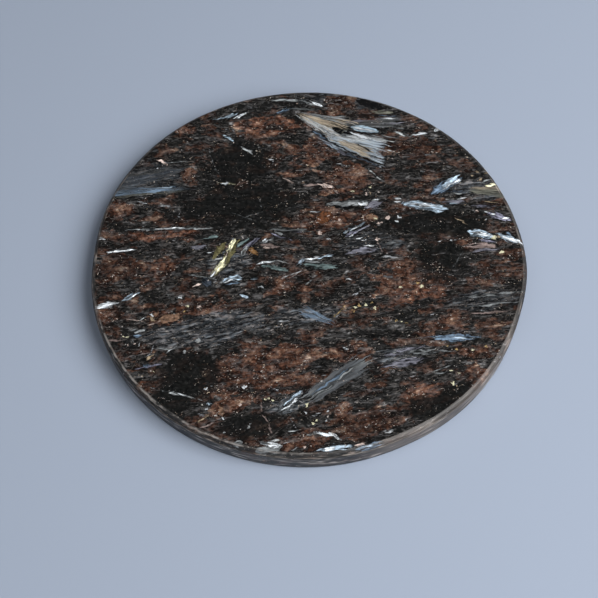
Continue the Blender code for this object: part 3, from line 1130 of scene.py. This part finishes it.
def stoneMaterial():
    material = bpy.data.materials.new("polishedNuummite")
    material.use_nodes = True
    tree = material.node_tree
    surface = tree.nodes["Principled BSDF"]
    spec = stoneSpec
    groups = {
        "crystal": crystalGroup("crystal", edgeSpec["outlined"]),
        "blunt": crystalGroup("bluntCrystal", edgeSpec["outlined"], blunt=True),
        "bend": crystalGroup("curvedCrystal", edgeSpec["outlined"], bends=True),
        "thin": crystalGroup("thinCrystal", edgeSpec["outlined"], turns=False),
        "vein": crystalGroup("vein", edgeSpec["plain"], turns=False),
    }
    strewnCrystals, spray, patch, specks = strewnGroup(), sprayGroup(), patchGroup(), specksGroup()

    # places in mm, with every edge a little wavy
    inMm = newNode(tree, "ShaderNodeTexCoord").outputs["Object"]
    inMm = vectorCalc(tree, "MULTIPLY", inMm, (1 / mm, 1 / mm, 1 / mm))
    wave = namedNoise(tree, inMm, "wave", "Color")
    wave = vectorCalc(tree, "SUBTRACT", wave, (0.5, 0.5, 0.5))
    space = vectorCalc(tree, "MULTIPLY_ADD", wave, (spec["wobble"] * 2, spec["wobble"] * 2, 1.0), inMm)
    fine = namedNoise(tree, inMm, "jitter", "Color")
    fine = vectorCalc(tree, "SUBTRACT", fine, (0.5, 0.5, 0.5))
    space = vectorCalc(tree, "MULTIPLY_ADD", fine, (spec["jitter"] * 2, spec["jitter"] * 2, 0.0), space)
    split = axesOf(tree, space)
    slope = calc(tree, "MULTIPLY_ADD", split[1], spec["leanChange"], spec["lean"])
    level = calc(tree, "SUBTRACT", split[1], calc(tree, "MULTIPLY", split[0], slope))
    foliated = joined(tree, {0: split[0], 1: level, 2: split[2]})

    # how ragged an edge is, as a share of the reach of the edge, for crystals that lie each way
    height = axesOf(tree, inMm)[2]
    tooDeep = calc(tree, "MAXIMUM", calc(tree, "SUBTRACT", faceHeight / mm - 0.8, height), 0.0)
    edges = {"ragged": {}, "fine": {}}
    for lean in spec["frayingLeans"]:
        uneven = namedNoise(tree, turnedBy(tree, foliated, -lean), "fraying")
        for kind, fraying in (("ragged", spec["fraying"]), ("fine", spec["fineFraying"])):
            rough = fraying / edgeReach
            fray = calc(tree, "MULTIPLY_ADD", uneven, 2 * rough, edgeSpec["outside"] / edgeReach - rough)
            edges[kind][lean] = calc(tree, "SUBTRACT", fray, tooDeep)

    # ground mass: soft clouds of grey and brown, each with its own fine mottle
    breakUp = calc(tree, "SUBTRACT", namedNoise(tree, foliated, "breakUp"), 0.5)
    clouds = namedNoise(tree, foliated, "clouds")
    clouds = calc(tree, "MULTIPLY", calc(tree, "SUBTRACT", clouds, 0.5), 0.8)
    mottle = calc(tree, "ADD", namedNoise(tree, foliated, "mottle"), clouds)
    colour = rampNode(tree, mottle, groundTints).outputs[0]
    warmth = namedNoise(tree, foliated, "warmth")
    warmth = calc(tree, "ADD", calc(tree, "MULTIPLY_ADD", clouds, 1.3, -0.02), warmth)
    earthy = rampNode(tree, warmth, brownTints).outputs[0]
    haze = ease(tree, namedNoise(tree, foliated, "haze"), 0.53, 0.68)
    pallor = rampNode(tree, warmth, hazeTints).outputs[0]
    earthy = mixColour(tree, calc(tree, "MULTIPLY", haze, 0.5), earthy, pallor)
    wideBreak = calc(tree, "MULTIPLY", breakUp, 1.6)
    glowing = patchMask(tree, patch, foliated, "glowing", wideBreak, -0.15, 0.35)
    earthy = shade(tree, earthy, calc(tree, "MULTIPLY_ADD", glowing, 0.70, 0.96))
    stained = ease(tree, namedNoise(tree, foliated, "stain"), 0.50, 0.58)
    colour = mixColour(tree, calc(tree, "MULTIPLY", stained, 0.7), colour, earthy)
    fibrous = patchMask(tree, patch, foliated, "fibrous", wideBreak, -0.05, 0.30)
    streaks = namedNoise(tree, turnedBy(tree, foliated, -spec["fibreLean"]), "streaks")
    colour = mixColour(tree, fibrous, colour, rampNode(tree, streaks, fibrousTints).outputs[0])
    brown = patchMask(tree, patch, foliated, "brown", calc(tree, "MULTIPLY", breakUp, 2.6), -0.05, 0.12)
    colour = mixColour(tree, brown, colour, earthy)
    black = patchMask(tree, patch, foliated, "black", calc(tree, "MULTIPLY", breakUp, 2.2), -0.30, 0.25)

    # hairlines that wander through it
    for line in hairlines:
        colour = drawHairlines(tree, line, foliated, colour, calc(tree, "MULTIPLY_ADD", fibrous, 0.62, 0.38))
    dull = patchMask(tree, patch, foliated, "dull", wideBreak, -0.15, 0.35)
    colour = shade(tree, colour, calc(tree, "MULTIPLY_ADD", dull, -0.45, 1.0))
    colour = mixColour(tree, calc(tree, "MULTIPLY", black, 0.88), colour, (0.0062, 0.0064, 0.0060, 1))

    # strewn crystals, fewer in the brown and the black
    quiet = calc(tree, "MAXIMUM", calc(tree, "MULTIPLY", brown, 0.60), calc(tree, "MULTIPLY", black, 0.82))
    busy = calc(tree, "SUBTRACT", 1.0, quiet)
    turn = 0.0
    draws = random.Random(7)
    for layer in strewn:
        values = {
            "Space": foliated,
            "Edge": edges["ragged"][0.0],
            "Cell": layer["cell"],
            "Shift": (draws.uniform(100, 200), draws.uniform(100, 200), draws.uniform(100, 200)),
            "Half Length": layer["halfLength"],
            "Half Width": layer["halfWidth"],
            "Spread": layer["spread"],
            "Share": calc(tree, "MULTIPLY", busy, layer["share"]),
            "Brightness": layer["light"],
            "Colour": colour,
            "Turn So Far": turn,
        }
        made = placeGroup(tree, strewnCrystals, values)
        colour, turn = made["Colour"], made["Turn So Far"]
    turn = calc(tree, "ADD", turn, slope)

    # crystals that stand out, just under the face
    space, colour, turn = layCrystals(tree, groups, crystals, space, edges, colour, turn)

    # fibres along each crystal and along the foliation
    turned = turnedBy(tree, space, calc(tree, "MULTIPLY", turn, -1.0))
    coarse = namedNoise(tree, turned, "coarseFibres")
    thin = namedNoise(tree, turned, "thinFibres")
    light = calc(tree, "ADD", calc(tree, "MULTIPLY", coarse, 4.6), calc(tree, "MULTIPLY", thin, 4.6))
    light = calc(tree, "MAXIMUM", calc(tree, "ADD", light, -3.6), 0.10)

    # the brown grains and the dark ground are no fibres: they have an even grain instead
    red, _, blue = channelsOf(tree, colour)[:3]
    coolness = calc(tree, "DIVIDE", blue, calc(tree, "ADD", red, 0.001))
    cool = calc(tree, "MULTIPLY", ease(tree, coolness, 0.60, 0.86), ease(tree, red, 0.012, 0.055))
    fibre = calc(tree, "MAXIMUM", cool, ease(tree, red, 0.20, 0.36))
    evenGrain = namedNoise(tree, inMm, "evenGrain")
    evenGrain = calc(tree, "MAXIMUM", calc(tree, "MULTIPLY_ADD", evenGrain, 3.4, -0.72), 0.30)
    colour = shade(tree, colour, mixValue(tree, fibre, evenGrain, light))

    # sprays of fibres, with the crystals that lie upon the sheaf
    shallow = calc(tree, "MAXIMUM", calc(tree, "SUBTRACT", 1.0, tooDeep), 0.0)
    colour = laySprays(tree, spray, space, shallow, colour)
    space, colour, _ = layCrystals(tree, groups, sheafCrystals, space, edges, colour, 0.0)
    colour = layGrains(tree, space, tooDeep, colour)

    # dots, and irregular sparks that gather in places
    share = calc(tree, "MULTIPLY_ADD", brown, 0.22, 0.10)
    share = calc(tree, "MULTIPLY", share, calc(tree, "MULTIPLY_ADD", black, -0.7, 1.0))
    values = {"Space": space, "Cell": 0.95, "Size": 0.25, "Share": share, "Colour": colour}
    colour = placeGroup(tree, specks, values)["Colour"]
    grit = namedNoise(tree, foliated, "grit")
    gathered = calc(tree, "MULTIPLY", namedNoise(tree, foliated, "gathering"), 0.34)
    grit = calc(tree, "ADD", grit, calc(tree, "ADD", gathered, calc(tree, "MULTIPLY", brown, 0.03)))
    spark = rampNode(tree, namedNoise(tree, foliated, "sparks"), sparkTints).outputs[0]
    colour = mixColour(tree, ease(tree, grit, 0.84, 0.93), colour, spark)

    # wall and eased edges: ground and not polished, so paler, with marks along the rim
    wall = wallSpec
    onWall = ease(tree, height, faceHeight / mm - 0.002, faceHeight / mm - 0.03)
    flat = vectorCalc(tree, "MULTIPLY", inMm, (1, 1, 0))
    profile = joined(tree, {2: calc(tree, "SUBTRACT", height, lengthOf(tree, flat))})
    roundRim = vectorCalc(tree, "ADD", flat, profile)
    marks = namedNoise(tree, roundRim, "rimMarks")
    patchy = namedNoise(tree, roundRim, "rimPatches")
    marks = calc(tree, "ADD", calc(tree, "MULTIPLY", marks, 1.8), calc(tree, "MULTIPLY", patchy, 1.2))
    frosted = rampNode(tree, calc(tree, "ADD", marks, -1.09), wallTints).outputs[0]
    around = newNode(tree, "ShaderNodeVectorMath", {0: inMm}, operation="NORMALIZE").outputs[0]
    litSideWay, highlightLineWay, wornHighlightWay = (
        (math.cos(math.radians(wall[name])), math.sin(math.radians(wall[name])), 0)
        for name in ("litSideAt", "highlightLineAt", "wornHighlightAt")
    )
    # painted light: the wall is painted paler on its right front, where the lamps fall on it, and more of the
    # frosted tint shows there
    litSide = ease(tree, dotProduct(tree, around, litSideWay), 0.83, 0.95)
    frosted = mixColour(tree, calc(tree, "MULTIPLY", litSide, 0.55), frosted, wall["litSideTint"])
    worn = ease(tree, namedNoise(tree, inMm, "rimWear"), 0.38, 0.62)
    share = calc(tree, "MULTIPLY_ADD", worn, 0.50, calc(tree, "MULTIPLY_ADD", litSide, 0.10, 0.34))
    lessAbove = calc(tree, "MULTIPLY_ADD", ease(tree, height, 4.9, 5.7), -0.45, 1.0)
    share = calc(tree, "MULTIPLY", share, lessAbove)
    frosted = mixColour(tree, share, colour, frosted)

    # a painted highlight as a bright line low on its right, its foot darkened with painted shade, and a
    # broken pale line where the face ends, partly wear and partly painted highlight
    # painted highlight: a bright line low on the wall's right
    line = ease(tree, calc(tree, "ABSOLUTE", calc(tree, "SUBTRACT", height, wall["highlightLineHeight"])), 0.40, 0.15)
    line = calc(tree, "MULTIPLY", line, ease(tree, dotProduct(tree, around, highlightLineWay), 0.975, 0.99))
    frosted = mixColour(tree, calc(tree, "MULTIPLY", line, 0.8), frosted, wall["highlightLineTint"])
    # painted shade: the foot of the wall darkened where it meets the floor
    footShade = calc(tree, "MULTIPLY", ease(tree, height, wall["footShadeHeight"], 0.4), 0.75)
    frosted = mixColour(tree, footShade, frosted, (0.008, 0.0075, 0.007, 1))
    colour = mixColour(tree, onWall, colour, frosted)
    # partly wear and partly painted highlight: a broken pale line where the face meets the eased edge
    broken = ease(tree, namedNoise(tree, inMm, "wornHighlightLine"), 0.44, 0.58)
    fromWornHighlight = calc(tree, "ABSOLUTE", calc(tree, "SUBTRACT", height, wall["wornHighlightHeight"]))
    rubbedHighlight = ease(tree, fromWornHighlight, 0.12, 0.04)
    rubbedHighlight = calc(tree, "MULTIPLY", rubbedHighlight, ease(tree, dotProduct(tree, around, wornHighlightWay), 0.72, 0.95))
    rubbedHighlight = calc(tree, "MULTIPLY", calc(tree, "MULTIPLY", rubbedHighlight, broken), 0.75)
    colour = mixColour(tree, rubbedHighlight, colour, wall["wornHighlightTint"])
    polish = calc(tree, "MULTIPLY_ADD", onWall, 0.36, spec["roughness"])
    polish = calc(tree, "MULTIPLY_ADD", brown, 0.05, polish)

    tree.links.new(colour, surface.inputs["Base Color"])
    tree.links.new(polish, surface.inputs["Roughness"])
    surface.inputs["IOR"].default_value = spec["ior"]
    return material


# Piece: the slab, its outline taken from the frame
slabSpec = {
    "rimPoints": 1500,
    "waviness": 0.05 * mm,  # how far the hand-ground wall dips in between
    "waveScale": 9.0,
    "chips": 26,
    "chipDepth": 0.16 * mm,
    "chipSide": (180, 250),  # degrees, where most of the chips are
    "chipTilt": (30, 60),
    "chipHalfWidth": (0.25, 0.60),  # mm
    # in the bake map, the middle of the face and how far from it the furthest reach would lie, which
    # is that of the underside's middle; then the middle and the radius of the underside
    "bakeTop": ((0.44, 0.44), 0.43),
    "bakeUnder": ((0.852, 0.852), 0.135),
    "topArris": 1.0 * mm,
    "bottomArris": 0.5 * mm,
    "wallCrown": 0.15 * mm,
    "wallLoops": 7,
    "arrisSteps": 8,
    "flatRing": 0.06 * mm,  # keeps the shading of the face flat up to the arris
}


# The outline of the CAD slab as (degrees, radius), read half way up its wall
def outlineOf(node):
    found = {}
    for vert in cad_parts[node].data.vertices:
        if abs(vert.co.z - faceHeight / 2) < 0.02 * mm:
            found[round(math.degrees(math.atan2(vert.co.y, vert.co.x)), 3)] = vert.co.xy.length
    return sorted(found.items())


# Straight interpolation round a closed outline
def radiusAt(angle, outline):
    closing = (outline[0][0] + 360, outline[0][1])
    for (low, nearReach), (high, farReach) in zip(outline, outline[1:] + [closing]):
        for turned in (angle, angle + 360):
            if low <= turned <= high:
                share = (turned - low) / (high - low)
                return nearReach * (1 - share) + farReach * share
    return outline[0][1]


# Small chips out of the upper edge, most of them at the front left
def chipEdge(bm, spec, outline):
    draws = random.Random(19)
    edge = [vert for vert in bm.verts if faceHeight - spec["topArris"] < vert.co.z < faceHeight - 1e-7]
    for number in range(spec["chips"]):
        degrees = draws.uniform(*spec["chipSide"]) if number % 3 else draws.uniform(0, 360)
        down = math.radians(draws.uniform(*spec["chipTilt"]))
        halfWidth = draws.uniform(*spec["chipHalfWidth"]) * mm
        depth = spec["chipDepth"] * draws.uniform(0.5, 1.0)
        outwards = Vector((math.cos(math.radians(degrees)), math.sin(math.radians(degrees)), 0))
        reach = radiusAt((degrees + 180) % 360 - 180, outline) - spec["topArris"] * (1 - math.sin(down))
        centre = outwards * reach
        centre.z = faceHeight - spec["topArris"] * (1 - math.cos(down))
        inwards = (-outwards - Vector((0, 0, 1))).normalized()
        for vert in edge:
            near = 1 - ((vert.co - centre).length / halfWidth) ** 2
            if near > 0:
                vert.co += inwards * depth * near


# The bake map: the face with the wall laid out flat around it, and the underside apart
def layOutBake(bm, spec, outline):
    layer = bm.loops.layers.uv.new("OFBake")
    (middle, size), (underMiddle, underSize) = spec["bakeTop"], spec["bakeUnder"]
    reaches = {}
    for vert in bm.verts:
        flat = vert.co.xy.length
        out = flat
        if vert.co.z < faceHeight / 2:
            out = 2 * radiusAt(math.degrees(math.atan2(vert.co.y, vert.co.x)), outline) - flat
        reaches[vert] = (out + faceHeight - vert.co.z, flat)
    furthest = max(reach for reach, _ in reaches.values())
    widest = max(flat for vert, (_, flat) in reaches.items() if vert.co.z < 1e-7)
    for face in bm.faces:
        under = all(vert.co.z < 1e-7 for vert in face.verts)
        for loop in face.loops:
            reach, flat = reaches[loop.vert]
            spot = loop.vert.co.xy / max(flat, 1e-9)
            if under:
                spot *= flat / widest * underSize
                loop[layer].uv = (underMiddle[0] - spot.x, underMiddle[1] + spot.y)
            else:
                spot *= (reach if flat > 1e-6 else 0.0) / furthest * size
                loop[layer].uv = (middle[0] + spot.x, middle[1] + spot.y)


def polishedSlab(spec, material):
    outline = outlineOf("stone_disc")
    print("outline read at", len(outline), "points")
    bm = bmesh.new()
    bmesh.ops.create_circle(bm, cap_ends=True, segments=spec["rimPoints"], radius=1.0)
    for vert in bm.verts:
        dip = spec["waviness"] * (0.5 + 0.5 * noise.noise(vert.co * spec["waveScale"]))
        vert.co *= radiusAt(math.degrees(math.atan2(vert.co.y, vert.co.x)), outline) - dip
    lifted = bmesh.ops.extrude_face_region(bm, geom=bm.faces[:])["geom"]
    top = [item for item in lifted if isinstance(item, bmesh.types.BMVert)]
    bmesh.ops.translate(bm, verts=top, vec=(0, 0, faceHeight))
    bmesh.ops.recalc_face_normals(bm, faces=bm.faces)
    upright = [edge for edge in bm.edges if abs(edge.verts[0].co.z - edge.verts[1].co.z) > faceHeight / 2]
    bmesh.ops.subdivide_edges(bm, edges=upright, cuts=spec["wallLoops"])
    for vert in bm.verts:
        height = 2 * vert.co.z / faceHeight - 1
        vert.co.xy *= 1 - spec["wallCrown"] * height**2 / vert.co.xy.length
    for level, size, steps in (
        (faceHeight, spec["topArris"], spec["arrisSteps"]),
        (0.0, spec["bottomArris"], spec["arrisSteps"] // 2),
    ):
        rim = [edge for edge in bm.edges if all(abs(vert.co.z - level) < 1e-7 for vert in edge.verts)]
        bmesh.ops.bevel(
            bm, geom=rim, offset=size, offset_type="OFFSET", segments=steps, profile=0.5,
            affect="EDGES", clamp_overlap=False, material=-1,
        )
    caps = [face for face in bm.faces if len(face.verts) > 4]
    bmesh.ops.inset_region(bm, faces=caps, thickness=spec["flatRing"], use_even_offset=True)
    caps = [face for face in bm.faces if len(face.verts) > 4]
    bmesh.ops.poke(bm, faces=caps)
    bmesh.ops.recalc_face_normals(bm, faces=bm.faces)
    chipEdge(bm, spec, outline)
    layOutBake(bm, spec, outline)
    mesh = bpy.data.meshes.new("polishedSlab")
    bm.to_mesh(mesh)
    bm.free()
    mesh.shade_smooth()
    mesh.materials.append(material)
    piece = bpy.data.objects.new("polishedSlab", mesh)
    bpy.context.scene.collection.objects.link(piece)
    return piece


stone = polishedSlab(slabSpec, stoneMaterial())
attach(stone, "root")
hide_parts("stone_disc")
print("slab made:", len(stone.data.polygons), "faces")


# Floor, light and air
studioSpec = {
    "floorTint": (0.40, 0.46, 0.57, 1.0),
    "floorSize": 4.0,
    "floorRoughness": 0.9,
    "floorShine": 0.1,
    "airTint": (0.80, 0.90, 1.0, 1.0),
    "airStrength": 0.045,
}
lampSpecs = [
    {"name": "key", "azimuth": -30, "elevation": 44, "distance": 0.7, "size": 0.62, "power": 5.7},
    {"name": "right", "azimuth": 15, "elevation": 45, "distance": 1.2, "size": 1.0, "power": 2.5},
    {"name": "above", "azimuth": -165, "elevation": 62, "distance": 1.2, "size": 1.1, "power": 2.4},
]


def makeFloor(spec):
    bm = bmesh.new()
    bmesh.ops.create_grid(bm, x_segments=1, y_segments=1, size=spec["floorSize"] / 2)
    mesh = bpy.data.meshes.new("floor")
    bm.to_mesh(mesh)
    bm.free()
    material = bpy.data.materials.new("paleFloor")
    material.use_nodes = True
    surface = material.node_tree.nodes["Principled BSDF"]
    surface.inputs["Base Color"].default_value = spec["floorTint"]
    surface.inputs["Roughness"].default_value = spec["floorRoughness"]
    surface.inputs["Specular IOR Level"].default_value = spec["floorShine"]
    mesh.materials.append(material)
    floor = bpy.data.objects.new("floor", mesh)
    bpy.context.scene.collection.objects.link(floor)


def makeLamp(spec):
    azimuth, elevation = math.radians(spec["azimuth"]), math.radians(spec["elevation"])
    level = math.cos(elevation)
    away = Vector((math.cos(azimuth) * level, math.sin(azimuth) * level, math.sin(elevation)))
    lamp = bpy.data.lights.new(spec["name"], "AREA")
    lamp.shape = "DISK"
    lamp.size = spec["size"]
    lamp.energy = spec["power"]
    holder = bpy.data.objects.new(spec["name"], lamp)
    holder.location = away * spec["distance"]
    holder.rotation_euler = away.to_track_quat("Z", "Y").to_euler()
    bpy.context.scene.collection.objects.link(holder)


def makeAir(spec):
    world = bpy.data.worlds.new("air")
    world.use_nodes = True
    background = world.node_tree.nodes["Background"]
    background.inputs["Color"].default_value = spec["airTint"]
    background.inputs["Strength"].default_value = spec["airStrength"]
    bpy.context.scene.world = world


makeFloor(studioSpec)
for lampSpec in lampSpecs:
    makeLamp(lampSpec)
makeAir(studioSpec)
bpy.context.scene.view_settings.view_transform = "Standard"
print("studio made")
